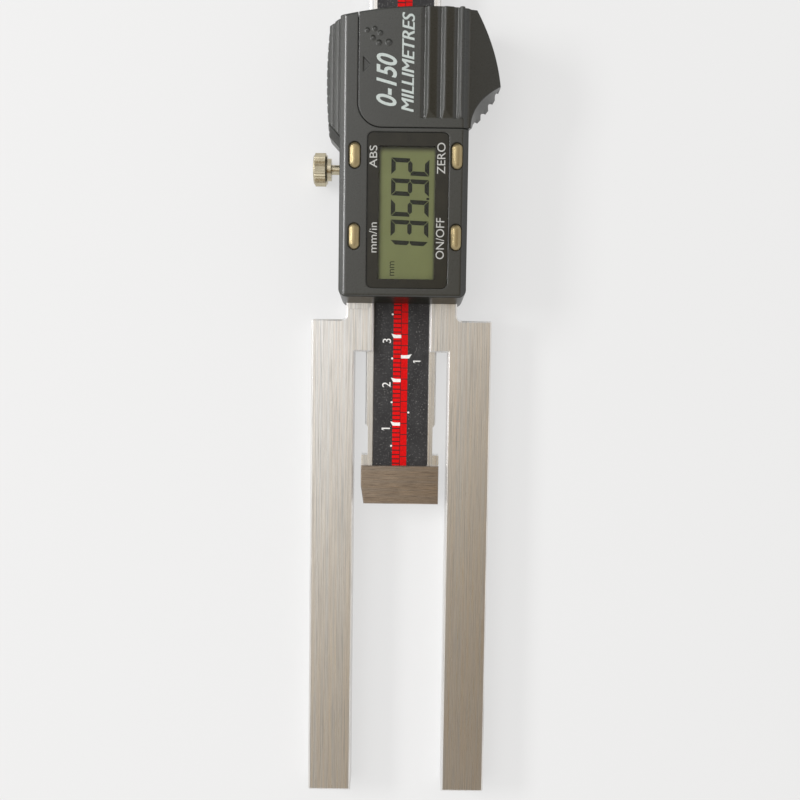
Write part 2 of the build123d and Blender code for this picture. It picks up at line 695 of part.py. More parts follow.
# Thumb rest of the battery cover: a wing that flares towards its back, hollow from behind
rest_root_x = housing_half - rest_wall / 2
rest_low = cover_low + cover_gap
with BuildPart() as thumb_rest:
    with BuildSketch(Plane.XY.offset(cover_skirt)) as rest_back:
        with BuildLine():
            back_scoop = SagittaArc((scoop_end_x, rest_low + rest_back_lift),
                                    (rest_tip_x + rest_back_tip_out, rest_tip_y + rest_back_tip_up),
                                    -scoop_back_bow)
            back_flank = SagittaArc(back_scoop @ 1, (rest_top_x + rest_back_out, rest_top_y), -rest_bow)
            Polyline(back_flank @ 1, (rest_root_x, rest_top_y), (rest_root_x, rest_low + rest_back_lift),
                     back_scoop @ 0)
        make_face()
    with BuildSketch(Plane.XY.offset(housing_front)):
        with BuildLine():
            front_scoop = SagittaArc((scoop_end_x, rest_low), (rest_tip_x, rest_tip_y), scoop_bow)
            front_flank = SagittaArc(front_scoop @ 1, (rest_top_x, rest_top_y), -rest_bow)
            Polyline(front_flank @ 1, (rest_root_x, rest_top_y), (rest_root_x, rest_low), front_scoop @ 0)
        make_face()
    loft(ruled=True)
    with BuildSketch(Plane.XZ.offset(-rest_low)):
        with BuildLine():
            Polyline((rest_root_x, housing_front - rest_front_drop),
                     (housing_half, housing_front - rest_front_drop),
                     (rest_tip_x + rest_wall, housing_front - rest_tip_drop),
                     (rest_tip_x + rest_wall, housing_front + rest_wall),
                     (rest_root_x, housing_front + rest_wall), close=True)
        make_face()
    extrude(amount=-slider_length, mode=Mode.SUBTRACT)
    with Locations([back_scoop @ ((i + 0.75) / (ridge_count + 0.5)) for i in range(ridge_count)]):
        Cylinder(ridge_r, ridge_top - cover_skirt, align=AT_BASE, mode=Mode.SUBTRACT)
    with BuildSketch(Plane.XY.offset(cover_skirt)):
        offset(rest_back.sketch, amount=-rest_wall)
    extrude(amount=pocket_top - cover_skirt, mode=Mode.SUBTRACT)

# Battery cover: front plate, side wall and crowned top wall in one, with the thumb rest
with BuildPart() as cover_region:
    with BuildSketch(Plane.XY.offset(cover_under)):
        offset(cover_plan.sketch, amount=-cover_gap)
    extrude(amount=cover_thick)
    with BuildSketch(Plane.XY.offset(cover_skirt)):
        with Locations((cover_side_x, cover_low + cover_gap)):
            Rectangle(housing_half, housing_half * 2, align=(Align.MIN, Align.MIN))
    extrude(amount=housing_front - cover_skirt)
    with BuildSketch(Plane.XY.offset(cover_top_low)):
        with Locations((cover_left + cover_gap, bay_top + cover_gap)):
            Rectangle(2 * housing_half - cover_left, housing_half, align=(Align.MIN, Align.MIN))
    extrude(amount=housing_front - cover_top_low)

with BuildPart() as battery_cover:
    add(module_form.part)
    add(cover_region.part, mode=Mode.INTERSECT)
    add(thumb_rest.part)
    with BuildSketch(Plane.XY.offset(bay_rim - tongue_drop - tongue_thick)):
        with Locations((tongue_x, cover_low + cover_gap + tongue_web - cover_gap)):
            Rectangle(cover_side_x - tongue_x, tongue_depth + tongue_web - cover_gap,
                      align=(Align.MIN, Align.MAX))
    extrude(amount=tongue_thick)
    with BuildSketch(Plane.XY.offset(bay_rim - tongue_drop)):
        with Locations((tongue_x, cover_low + cover_gap)):
            Rectangle(cover_side_x - tongue_x, tongue_web - cover_gap, align=(Align.MIN, Align.MIN))
    extrude(amount=tongue_drop + cover_seat_gap)
    with BuildSketch(Plane.XY.offset(top_tongue_z)):
        with Locations((tongue_x, bay_top - top_tongue_depth)):
            Rectangle(cover_side_x - tongue_x, 2 * top_tongue_depth, align=(Align.MIN, Align.MIN))
    extrude(amount=tongue_thick)
    for inset in ramp_inset:
        length = min(ramp_length, inset - ramp_end_inset)
        ramp_plane = Plane((housing_half - inset, ramp_low, housing_front), x_dir=(1, 0, 0), z_dir=(0, -1, 0))
        with BuildSketch(ramp_plane):
            with BuildLine():
                Polyline((ramp_flank, -ramp_height), (ramp_flank, 0), (2 * ramp_flank, ramp_height),
                         (3 * ramp_flank, ramp_height), (length, 0), (length, -ramp_height), close=True)
            make_face()
        extrude(amount=-(ramp_high - ramp_low))
        with BuildSketch(Plane.XY.offset(cover_top_low)):
            with BuildLine():
                left = housing_half - inset + ramp_flank
                Polyline((left, ramp_root_y), (left, ramp_high - ramp_height), (left + ramp_flank, ramp_high),
                         (left + 2 * ramp_flank, ramp_high),
                         (left - ramp_flank + length, ramp_high - ramp_height),
                         (left - ramp_flank + length, ramp_root_y), close=True)
            make_face()
        extrude(amount=housing_front - cover_top_low)
        with BuildSketch(ramp_plane):
            with BuildLine():
                Polyline((-ramp_valley, ramp_height), (-ramp_valley, 0), (0, -ramp_height),
                         (ramp_flank, 0), (2 * ramp_flank, ramp_height), close=True)
            make_face()
        extrude(amount=-(ramp_high - ramp_low), mode=Mode.SUBTRACT)
    with BuildSketch(Plane.YZ.offset(housing_half - ramp_inset[0])):
        with BuildLine():
            Polyline((ramp_low, housing_front), (ramp_low + ramp_runout, housing_front + 2 * ramp_height),
                     (ramp_low, housing_front + 2 * ramp_height), close=True)
        make_face()
    extrude(amount=3 * ramp_length, mode=Mode.SUBTRACT)
    with BuildSketch(Plane.XY.offset(housing_front)):
        with Locations((cover_left + arrow_inset + arrow_width / 2, cover_low + arrow_rise)):
            Polygon((-arrow_width / 2, -arrow_height / 2), (arrow_width / 2, 0),
                    (-arrow_width / 2, arrow_height / 2))
    extrude(amount=-arrow_depth, mode=Mode.SUBTRACT)
    for r, inset, rise in zip(bump_r, bump_inset, bump_rise):
        with BuildSketch(Plane.XY.offset(housing_front)):
            with Locations((cover_left + inset, cover_low + rise)):
                RegularPolygon(r, bump_sides)
        extrude(amount=bump_height, taper=bump_taper)
battery_cover.part.label = "battery_cover"
export_step(battery_cover.part, "parts/battery_cover.step")

# Display: lens, liquid crystal glass, its frame and the elastomer strip that connects it
with BuildPart() as display_window:
    with BuildSketch(Plane.XY.offset(ledge_z)):
        with Locations((window_x, window_y)):
            RectangleRounded(window_width - 2 * lens_gap, window_height - 2 * lens_gap,
                             window_corner - lens_gap)
    extrude(amount=lens_thick)
display_window.part.label = "display_window"
export_step(display_window.part, "parts/display_window.step")

with BuildPart() as lcd_panel:
    with BuildSketch(Plane.XY.offset(lcd_front)):
        with Locations((lcd_x, lcd_y)):
            Rectangle(lcd_width, lcd_height)
    extrude(amount=-lcd_thick / 2)
    with BuildSketch(Plane.XY.offset(lcd_back)):
        with Locations((lcd_x + lcd_contact_edge / 2, lcd_y)):
            Rectangle(lcd_width - lcd_contact_edge, lcd_height)
    extrude(amount=lcd_thick / 2)
lcd_panel.part.label = "lcd_panel"
export_step(lcd_panel.part, "parts/lcd_panel.step")

with BuildPart() as display_frame:
    with BuildSketch(Plane.XY.offset(board_front)):
        with Locations((lcd_x, lcd_y)):
            Rectangle(lcd_width, lcd_height)
            Rectangle(lcd_width - 2 * frame_wall, lcd_height - 2 * frame_wall, mode=Mode.SUBTRACT)
    extrude(amount=lcd_back - board_front)
display_frame.part.label = "display_frame"
export_step(display_frame.part, "parts/display_frame.step")

with BuildPart() as contact_strip:
    with BuildSketch(Plane.XY.offset(board_front)):
        with Locations((lcd_x - lcd_width / 2 + frame_wall, lcd_y)):
            Rectangle(contact_strip_width, lcd_height - 2 * frame_wall - 2 * contact_strip_margin,
                      align=(Align.MIN, Align.CENTER))
    extrude(amount=lcd_front - lcd_thick / 2 - board_front)
contact_strip.part.label = "contact_strip"
export_step(contact_strip.part, "parts/contact_strip.step")

# Main board with its chip, and the sensor board that faces the scale between the lips
with BuildPart() as circuit_board:
    with BuildSketch(Plane.XY.offset(frame_front)):
        with Locations((0, (board_low + board_high) / 2)):
            Rectangle(board_width, board_high - board_low)
        with Locations((0, (board_tongue_low + board_low) / 2)):
            Rectangle(board_tongue, board_low - board_tongue_low)
    extrude(amount=main_board_thick)
    with Locations((lcd_x + lcd_contact_edge / 2, lcd_y, board_front)):
        Cylinder(chip_r, chip_height, align=AT_BASE)
circuit_board.part.label = "circuit_board"
export_step(circuit_board.part, "parts/circuit_board.step")

with BuildPart() as sensor_board:
    with BuildSketch(Plane.XY.offset(frame_front)):
        with Locations((0, (cavity_low + cavity_high) / 2)):
            Rectangle(sensor_width, cavity_high - cavity_low - 2 * sensor_end_gap)
    extrude(amount=-sensor_thick)
sensor_board.part.label = "sensor_board"
export_step(sensor_board.part, "parts/sensor_board.step")

# Felt wipers between the lips, over the scale, at both ends of the slider
with BuildPart() as scale_wipers:
    with BuildSketch(Plane.XY.offset(frame_front)):
        for y in (cavity_low - wiper_length / 2, slider_length - wiper_length):
            with Locations((0, y)):
                Rectangle(sensor_width, wiper_length)
    extrude(amount=label_front + slide_gap - frame_front)
scale_wipers.part.label = "scale_wipers"
export_step(scale_wipers.part, "parts/scale_wipers.step")

# Silicone keypads: hollow, with a plunger under each button
for name, x in (("keypad_left", button_left_x), ("keypad_right", button_right_x)):
    with BuildPart() as keypad:
        middle = (button_high_y + button_low_y) / 2
        length = button_high_y - button_low_y + 2 * keypad_margin
        with BuildSketch(Plane.XY.offset(board_front)):
            with Locations((x, middle)):
                Rectangle(keypad_width, length)
        extrude(amount=keypad_top - board_front)
        with BuildSketch(Plane.XY.offset(board_front)):
            with Locations((x, middle)):
                Rectangle(keypad_width - 2 * keypad_wall, length - 2 * keypad_wall)
        extrude(amount=keypad_top - keypad_skin - board_front, mode=Mode.SUBTRACT)
        with BuildSketch(Plane.XY.offset(board_front + plunger_gap)):
            with Locations((x, button_high_y), (x, button_low_y)):
                Circle(plunger_r)
        extrude(amount=keypad_top - board_front - plunger_gap)
    keypad.part.label = name
    export_step(keypad.part, f"parts/{name}.step")

# Buttons: bevelled capsules, held in by a flange at both ends under the housing's front
for name, x, y in (("button_abs", button_left_x, button_high_y),
                   ("button_mm_in", button_left_x, button_low_y),
                   ("button_zero", button_right_x, button_high_y),
                   ("button_on_off", button_right_x, button_low_y)):
    with BuildPart() as button:
        with BuildSketch(Plane.XY.offset(button_low_z)):
            with Locations((x, y)):
                SlotOverall(button_length, button_width, rotation=90)
        extrude(amount=button_top - button_low_z)
        chamfer(button.faces().sort_by(Axis.Z)[-1].edges(), length=button_bevel)
        with BuildSketch(Plane.XY.offset(button_low_z)):
            with Locations((x, y)):
                SlotOverall(button_length + 2 * button_flange, button_width, rotation=90)
        extrude(amount=button_flange_thick)
    button.part.label = name
    export_step(button.part, f"parts/{name}.step")

# Coin cell with its stepped negative face down
with BuildPart() as battery:
    with BuildSketch(Plane.XY.offset(battery_low)):
        with Locations((battery_x, battery_y)):
            Circle(battery_r - battery_step)
    extrude(amount=battery_thick)
    with BuildSketch(Plane.XY.offset(battery_low + battery_step / 2)):
        with Locations((battery_x, battery_y)):
            Circle(battery_r)
    extrude(amount=battery_thick - battery_step / 2)
    chamfer(battery.faces().sort_by(Axis.Z)[-1].edges(), length=battery_step / 2)
battery.part.label = "battery"
export_step(battery.part, "parts/battery.step")

# Battery contacts: bent strips that stand on the main board and pass through the partition
riser_y = cavity_high - fit_gap
foot_y = riser_y - contact_foot
with BuildPart() as contact_minus:
    with BuildSketch(Plane.YZ.offset(minus_x - contact_width / 2)):
        with BuildLine():
            Polyline((foot_y, board_front), (riser_y, board_front), (riser_y, bay_floor),
                     (battery_y - battery_r / 2, bay_floor),
                     (battery_y - battery_r / 4, battery_low - contact_thick), (battery_y, bay_floor),
                     (battery_y, bay_floor + contact_thick), (battery_y - battery_r / 4, battery_low),
                     (battery_y - battery_r / 2, bay_floor + contact_thick),
                     (riser_y - contact_thick, bay_floor + contact_thick),
                     (riser_y - contact_thick, board_front + contact_thick),
                     (foot_y, board_front + contact_thick), close=True)
        make_face()
    extrude(amount=contact_width)
contact_minus.part.label = "contact_minus"
export_step(contact_minus.part, "parts/contact_minus.step")

rim_y = battery_y - battery_r
with BuildPart() as contact_plus:
    with BuildSketch(Plane.YZ.offset(plus_x - contact_width / 2)):
        with BuildLine():
            Polyline((foot_y, board_front), (riser_y, board_front), (riser_y, bay_floor),
                     (rim_y - contact_lean, bay_floor),
                     (rim_y, bay_floor + contact_rise - contact_lean),
                     (rim_y - contact_lean, bay_floor + contact_rise),
                     (rim_y - contact_lean - contact_thick, bay_floor + contact_rise),
                     (rim_y - contact_thick, bay_floor + contact_rise - contact_lean),
                     (rim_y - contact_lean - contact_thick, bay_floor + contact_thick),
                     (riser_y - contact_thick, bay_floor + contact_thick),
                     (riser_y - contact_thick, board_front + contact_thick),
                     (foot_y, board_front + contact_thick), close=True)
        make_face()
    extrude(amount=contact_width)
contact_plus.part.label = "contact_plus"
export_step(contact_plus.part, "parts/contact_plus.step")

with BuildPart() as battery_seal:
    with BuildSketch(Plane.XY.offset(bay_rim - seal_depth)):
        with Locations((battery_x, battery_y)):
            Circle(seal_r)
            Circle(seal_r - seal_width, mode=Mode.SUBTRACT)
    extrude(amount=seal_depth)
battery_seal.part.label = "battery_seal"
export_step(battery_seal.part, "parts/battery_seal.step")

# Lock: a loose pad before the gib, and the knurled screw that pushes it
pad_x = -gib_outer_x - lock_travel - lock_end_gap
screw_tip_x = pad_x - lock_pad_length - lock_tip_gap
collar_x = -knob_outer_x + knob_length
knob_core_r = knob_r - knurl_depth
with BuildPart() as lock_pad:
    with BuildSketch(Plane((pad_x, lock_y, beam_mid_z), z_dir=(-1, 0, 0))):
        Circle(lock_stud_r)
    extrude(amount=lock_pad_length)
lock_pad.part.label = "lock_pad"
export_step(lock_pad.part, "parts/lock_pad.step")

with BuildPart() as lock_screw:
    with BuildSketch(Plane((screw_tip_x, lock_y, beam_mid_z), z_dir=(-1, 0, 0))):
        Circle(lock_stud_r)
    extrude(amount=screw_tip_x - collar_x)
    with BuildSketch(Plane((collar_x + collar_length, lock_y, beam_mid_z), z_dir=(-1, 0, 0))):
        Circle(collar_r)
    extrude(amount=collar_length)
    with BuildSketch(Plane((collar_x, lock_y, beam_mid_z), z_dir=(-1, 0, 0))):
        Circle(knob_core_r)
    extrude(amount=knob_length)
    chamfer(lock_screw.edges().filter_by(GeomType.CIRCLE).filter_by(lambda e: e.radius == knob_core_r),
            length=knob_bevel)
    with BuildSketch(Plane((collar_x - knob_bevel, lock_y, beam_mid_z), z_dir=(-1, 0, 0))):
        with BuildLine():
            Polyline(*[Vector(knob_r - knurl_depth * (i % 2), 0, 0).rotate(Axis.Z, 180 * i / knurl_count)
                       for i in range(2 * knurl_count)], close=True)
        make_face()
    extrude(amount=knob_length - 2 * knob_bevel)
lock_screw.part.label = "lock_screw"
export_step(lock_screw.part, "parts/lock_screw.step")
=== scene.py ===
import json
import math

import bpy
from mathutils import Matrix, Vector


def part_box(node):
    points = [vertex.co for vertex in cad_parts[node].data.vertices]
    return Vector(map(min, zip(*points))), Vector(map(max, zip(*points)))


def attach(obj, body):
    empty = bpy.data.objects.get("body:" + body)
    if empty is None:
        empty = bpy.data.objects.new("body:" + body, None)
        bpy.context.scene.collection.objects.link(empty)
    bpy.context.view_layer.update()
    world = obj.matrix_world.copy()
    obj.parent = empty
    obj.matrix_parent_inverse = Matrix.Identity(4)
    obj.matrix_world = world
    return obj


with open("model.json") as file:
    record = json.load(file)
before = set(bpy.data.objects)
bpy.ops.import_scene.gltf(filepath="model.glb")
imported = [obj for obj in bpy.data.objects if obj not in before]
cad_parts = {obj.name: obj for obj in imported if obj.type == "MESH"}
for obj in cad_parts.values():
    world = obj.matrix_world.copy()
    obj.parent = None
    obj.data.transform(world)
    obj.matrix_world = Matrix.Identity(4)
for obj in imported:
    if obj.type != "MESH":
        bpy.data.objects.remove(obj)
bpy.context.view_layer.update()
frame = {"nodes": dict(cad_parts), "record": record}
nodes = frame["nodes"]


MM = 0.001
LABEL_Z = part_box("scale_label")[1].z
LCD_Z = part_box("lcd_panel")[1].z
LENS_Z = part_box("display_window")[1].z
# The cover's plain face is level with the housing's, and its own box is higher by its raised parts
COVER_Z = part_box("housing")[1].z
PRINT = 0.00001              # a layer of print stands this far proud
SCALE_ZERO = -33.7           # place of the scale's zero along Y, in mm
INCH = 25.4


# Materials

# The three inputs and the output of a Mix node that is set to colour
MIX_FACTOR, MIX_A, MIX_B, MIX_RESULT = 0, 6, 7, 2
MM_PER_M = 1000.0
BEVEL_SAMPLES = 4
CLEAR_FIELD = (0.72, 22.9, 6.17, 14.18)    # of the lens: its middle and its half sizes along X and Y, in mm


class Nodes:
    """A node tree with short helpers. For feed, mix and math, a value may also be a node's output."""

    def __init__(self, tree):
        self.tree = tree

    def add(self, kind, **settings):
        node = self.tree.nodes.new(kind)
        for key, value in settings.items():
            setattr(node, key, value)
        return node

    def join(self, source, target):
        self.tree.links.new(source, target)

    def feed(self, socket, value):
        if isinstance(value, bpy.types.NodeSocket):
            self.join(value, socket)
        else:
            socket.default_value = (*value, 1) if isinstance(value, tuple) else value

    def ramp(self, factor, *stops):
        """A grey or a colour for each factor, from stops of (factor, value) in rising order."""
        node = self.add("ShaderNodeValToRGB")
        marks = node.color_ramp.elements
        for place, value in stops[2:]:
            marks.new(place)
        for mark, (place, value) in zip(marks, stops):
            mark.position = place
            colour = value if isinstance(value, tuple) else (value, value, value)
            mark.color = (*colour, 1)
        self.join(factor, node.inputs["Fac"])
        return node.outputs["Color"]

    def mix(self, factor, a, b, how="MIX"):
        node = self.add("ShaderNodeMix", data_type="RGBA", blend_type=how)
        for place, value in ((MIX_FACTOR, factor), (MIX_A, a), (MIX_B, b)):
            self.feed(node.inputs[place], value)
        return node.outputs[MIX_RESULT]

    def math(self, how, *values):
        node = self.add("ShaderNodeMath", operation=how)
        for socket, value in zip(node.inputs, values):
            self.feed(socket, value)
        return node.outputs[0]

    def smooth(self, source, start, end):
        """0 where the source is at start, 1 where it is at end, with a smooth step between them."""
        node = self.add("ShaderNodeMapRange", interpolation_type="SMOOTHSTEP")
        node.inputs["From Min"].default_value = start
        node.inputs["From Max"].default_value = end
        self.join(source, node.inputs["Value"])
        return node.outputs["Result"]

    def blend(self, factor, under, over):
        """One shader over another."""
        node = self.add("ShaderNodeMixShader")
        for socket, source in zip(node.inputs, (factor, under, over)):
            self.join(source, socket)
        return node.outputs[0]


class Finish(Nodes):
    """A node material around one Principled shader."""

    def __init__(self, name):
        self.material = bpy.data.materials.new(name)
        self.material.use_nodes = True
        super().__init__(self.material.node_tree)
        self.tree.nodes.clear()
        self.out = self.add("ShaderNodeOutputMaterial")
        self.bsdf = self.add("ShaderNodeBsdfPrincipled")
        self.surface(self.bsdf.outputs["BSDF"])
        self.places = self.add("ShaderNodeTexCoord").outputs["Object"]

    def surface(self, shader):
        self.join(shader, self.out.inputs["Surface"])

    def set(self, **values):
        for key, value in values.items():
            self.feed(self.bsdf.inputs[key.replace("_", " ")], value)

    def noise(self, grain, detail=3.0, rough=0.55):
        """Noise whose grain is given in mm along X, Y and Z."""
        stretch = self.add("ShaderNodeMapping")
        stretch.inputs["Scale"].default_value = [MM_PER_M / g for g in grain]
        self.join(self.places, stretch.inputs["Vector"])
        node = self.add("ShaderNodeTexNoise")
        node.inputs["Scale"].default_value = 1.0
        node.inputs["Detail"].default_value = detail
        node.inputs["Roughness"].default_value = rough
        self.join(stretch.outputs["Vector"], node.inputs["Vector"])
        return node.outputs["Fac"]

    def rounded(self, radius_mm):
        """Normals that round the edges off by that radius."""
        soft = self.add("ShaderNodeBevel", samples=BEVEL_SAMPLES)
        soft.inputs["Radius"].default_value = radius_mm * MM
        return soft.outputs["Normal"]

    def bump(self, height, strength, depth_mm, normal=None):
        node = self.add("ShaderNodeBump")
        node.inputs["Strength"].default_value = strength
        node.inputs["Distance"].default_value = depth_mm * MM
        self.join(height, node.inputs["Height"])
        if normal:
            self.join(normal, node.inputs["Normal"])
        self.join(node.outputs["Normal"], self.bsdf.inputs["Normal"])
        return self

    def along(self, axis):
        """How far along an axis the surface lies, in metres."""
        split = self.add("ShaderNodeSeparateXYZ")
        self.join(self.places, split.inputs[0])
        return split.outputs[axis]

    def rise(self, axis, start, end):
        """0 at start and 1 from end on, along an axis, in mm."""
        return self.smooth(self.along(axis), start * MM, end * MM)

    def inside(self, x, y, half_x, half_y):
        """1 where the surface lies in that rectangle seen from the front, in mm."""
        marks = []
        for axis, centre, half in (("X", x, half_x), ("Y", y, half_y)):
            away = self.math("ABSOLUTE", self.math("SUBTRACT", self.along(axis), centre * MM))
            marks.append(self.math("LESS_THAN", away, half * MM))
        return self.math("MULTIPLY", *marks)


def scaled(tone, factor):
    """The tone made that many times as bright."""
    return tuple(min(1.0, c * factor) for c in tone)


def ground_metal(name, tone, grain, rough=0.3, tint=(0.97, 0.98, 1.0), streak=0.34):
    """Ground metal: fine and broad streaks along the longest side of grain, in mm."""
    f = Finish(name)
    fine = f.noise(grain, 3.0, 0.75)
    broad = f.noise([g * 6 for g in grain], 2.0)
    shade = f.ramp(fine, (0.3, scaled(tone, 1 - streak)), (0.5, tone),
                   (0.7, scaled(tone, 1 + streak * 0.65)))
    cast = f.ramp(broad, (0.36, tint), (0.64, (1.0, 0.965, 0.93)))
    f.set(Base_Color=f.mix(1.0, shade, cast, "MULTIPLY"), Metallic=1.0,
          Roughness=f.ramp(fine, (0.3, rough + 0.1), (0.7, rough - 0.06)))
    return f.bump(fine, 0.3, 0.012, f.rounded(0.08)).material


def plastic(name, tone, rough=0.45, grain=0.12, rounding=0.12, specular=0.5):
    """Moulded plastic with a fine spark-eroded texture and faint wear, duller where it is turned away."""
    f = Finish(name)
    fine = f.noise((grain, grain, grain), 2.0)
    broad = f.noise((9.0, 12.0, 9.0), 3.0)
    soft = f.rounded(rounding)
    turned = f.add("ShaderNodeLayerWeight")
    f.join(soft, turned.inputs["Normal"])
    f.set(Base_Color=f.ramp(broad, (0.3, scaled(tone, 0.88)), (0.7, scaled(tone, 1.1))),
          Roughness=f.ramp(fine, (0.3, rough - 0.05), (0.7, rough + 0.08)),
          Specular_IOR_Level=f.ramp(turned.outputs["Facing"], (0.2, specular), (0.42, specular * 0.3)))
    return f.bump(fine, 0.5, 0.012, soft).material


def small_metal(name, tone, rough=0.25, grain=0.25, rounding=0.06):
    """Turned or plated metal with slight stains."""
    f = Finish(name)
    fine = f.noise((grain, grain, grain), 3.0)
    broad = f.noise((2.0, 2.0, 2.0), 2.0)
    f.set(Base_Color=f.ramp(broad, (0.3, scaled(tone, 0.85)), (0.7, tone)), Metallic=1.0,
          Roughness=f.ramp(fine, (0.3, rough - 0.05), (0.7, rough + 0.1)))
    return f.bump(fine, 0.15, 0.008, f.rounded(rounding)).material


def ink(name, tone, rough=0.5):
    """Printed or filled lettering, slightly uneven."""
    f = Finish(name)
    patch = f.noise((0.35, 0.35, 0.35), 3.0)
    f.set(Base_Color=f.ramp(patch, (0.35, scaled(tone, 0.88)), (0.6, tone)), Roughness=rough,
          Specular_IOR_Level=0.2)
    return f.bump(patch, 0.1, 0.004).material


def scale_black():
    f = Finish("scale_black")
    dust = f.noise((0.3, 0.3, 0.3), 2.0, 0.8)
    haze = f.noise((2.5, 4.0, 2.5), 3.0)
    base = f.ramp(haze, (0.35, (0.014, 0.0135, 0.015)), (0.7, (0.026, 0.0255, 0.027)))
    specks = f.ramp(dust, (0.62, 0.0), (0.72, 0.6))
    f.set(Base_Color=f.mix(specks, base, (0.45, 0.44, 0.42)), Roughness=0.5, Specular_IOR_Level=0.4)
    return f.bump(dust, 0.2, 0.006).material


def scale_red(name, tone):
    f = Finish(name)
    patch = f.noise((0.5, 0.5, 0.5), 4.0, 0.7)
    f.set(Base_Color=f.ramp(patch, (0.32, scaled(tone, 0.72)), (0.62, tone)), Roughness=0.45,
          Specular_IOR_Level=0.15)
    return f.bump(patch, 0.1, 0.004).material


def window_lens():
    """Clear lens with a black border printed round the display."""
    f = Finish("lens")
    haze = f.noise((3.0, 3.0, 3.0), 3.0)
    f.set(Base_Color=f.ramp(haze, (0.3, (0.012, 0.011, 0.007)), (0.7, (0.018, 0.016, 0.010))), Roughness=0.2,
          Specular_IOR_Level=0.4)
    f.bump(haze, 0.02, 0.01, f.rounded(0.08))
    clear = f.add("ShaderNodeBsdfTransparent")
    clear.inputs["Color"].default_value = (0.97, 0.98, 0.95, 1)
    gloss = f.add("ShaderNodeBsdfGlossy")
    gloss.inputs["Roughness"].default_value = 0.08
    layer = f.add("ShaderNodeFresnel")
    layer.inputs["IOR"].default_value = 1.3
    glass = f.blend(layer.outputs["Fac"], clear.outputs[0], gloss.outputs[0])
    f.surface(f.blend(f.inside(*CLEAR_FIELD), f.bsdf.outputs[0], glass))
    return f.material


def display_glass():
    f = Finish("lcd_glass")
    haze = f.noise((6.0, 9.0, 6.0), 2.0)
    fine = f.noise((0.1, 0.1, 0.1), 1.0)
    glass = f.ramp(haze, (0.3, (0.29, 0.315, 0.13)), (0.7, (0.325, 0.35, 0.145)))
    # Painted shade: the LCD turns dark towards its top edge and its left and right edges, where the lens's
    # black border shades it
    away_from_side_shade = f.math("MULTIPLY", f.rise("X", -5.5, -4.6), f.rise("X", 6.95, 6.3))
    away_from_painted_shade = f.math("MULTIPLY", f.rise("Y", 37.2, 35.7), away_from_side_shade)
    f.set(Base_Color=f.mix(away_from_painted_shade, (0.075, 0.07, 0.04), glass), Roughness=0.5)
    return f.bump(fine, 0.05, 0.004).material


def laminate(name, tone, fleck):
    f = Finish(name)
    weave = f.noise((0.4, 0.4, 0.4), 3.0)
    f.set(Base_Color=f.ramp(weave, (0.35, tone), (0.7, fleck)), Roughness=0.5)
    return f.bump(weave, 0.2, 0.01).material


def felt():
    f = Finish("felt")
    fibre = f.noise((0.15, 0.5, 0.15), 5.0, 0.8)
    f.set(Base_Color=f.ramp(fibre, (0.3, (0.05, 0.05, 0.05)), (0.7, (0.16, 0.155, 0.15))), Roughness=0.95)
    return f.bump(fibre, 0.8, 0.08).material


finishes = {
    "ground_steel": ground_metal("ground_steel", (0.80, 0.795, 0.775), (0.11, 17.0, 0.11), streak=0.52),
    "beam_steel": ground_metal("beam_steel", (0.80, 0.795, 0.775), (0.11, 20.0, 0.11), 0.26, streak=0.5),
    "foot_steel": ground_metal("foot_steel", (0.375, 0.315, 0.26), (4.5, 0.1, 0.1), 0.3, streak=0.8),
    "stop_steel": ground_metal("stop_steel", (0.66, 0.65, 0.63), (7.0, 0.1, 0.1), 0.32),
    "gib_brass": ground_metal("gib_brass", (0.72, 0.55, 0.28), (0.1, 9.0, 0.1), 0.33, (1.0, 1.0, 0.96)),
    "dark_screw": small_metal("dark_screw", (0.12, 0.12, 0.125), 0.35),
    "small_screw": small_metal("small_screw", (0.62, 0.62, 0.6), 0.28),
    "housing_plastic": plastic("housing_plastic", (0.0115, 0.0122, 0.0085), 0.3,
                               rounding=0.36, specular=0.95),
    "display_lens": window_lens(),
    "lcd": display_glass(),
    "white_plastic": plastic("white_plastic", (0.78, 0.78, 0.75), 0.4),
    "elastomer": plastic("elastomer", (0.75, 0.45, 0.42), 0.5),
    "green_board": laminate("green_board", (0.01, 0.11, 0.045), (0.02, 0.16, 0.07)),
    "scale_laminate": laminate("scale_laminate", (0.16, 0.15, 0.09), (0.24, 0.22, 0.13)),
    "scale_print": scale_black(),
    "silicone": plastic("silicone", (0.30, 0.31, 0.33), 0.6, 0.3),
    "seal_rubber": plastic("seal_rubber", (0.02, 0.02, 0.02), 0.6),
    "felt": felt(),
    "battery_steel": small_metal("battery_steel", (0.76, 0.76, 0.75), 0.2),
    "spring_brass": small_metal("spring_brass", (0.78, 0.6, 0.32), 0.25),
    "gold_button": small_metal("gold_button", (0.40, 0.32, 0.175), 0.15, 0.15, 0.8),
    "pad_brass": small_metal("pad_brass", (0.7, 0.52, 0.26), 0.3),
    "lock_nickel": small_metal("lock_nickel", (0.58, 0.52, 0.38), 0.24, 0.2),
}
for entry in frame["record"]["subparts"]:
    for held in nodes[entry["node"]].material_slots:
        held.material = finishes[entry["material_slot"]]


# Print

def print_piece(name, faces, z, finish, body):
    """Flat faces of print at height z; each face is a list of (x, y) in mm."""
    points, rings = [], []
    for face in faces:
        rings.append(range(len(points), len(points) + len(face)))
        points += [(x * MM, y * MM, z) for x, y in face]
    mesh = bpy.data.meshes.new(name)
    mesh.from_pydata(points, [], [list(r) for r in rings])
    mesh.materials.append(finish)
    piece = bpy.data.objects.new(name, mesh)
    bpy.context.scene.collection.objects.link(piece)
    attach(piece, body)


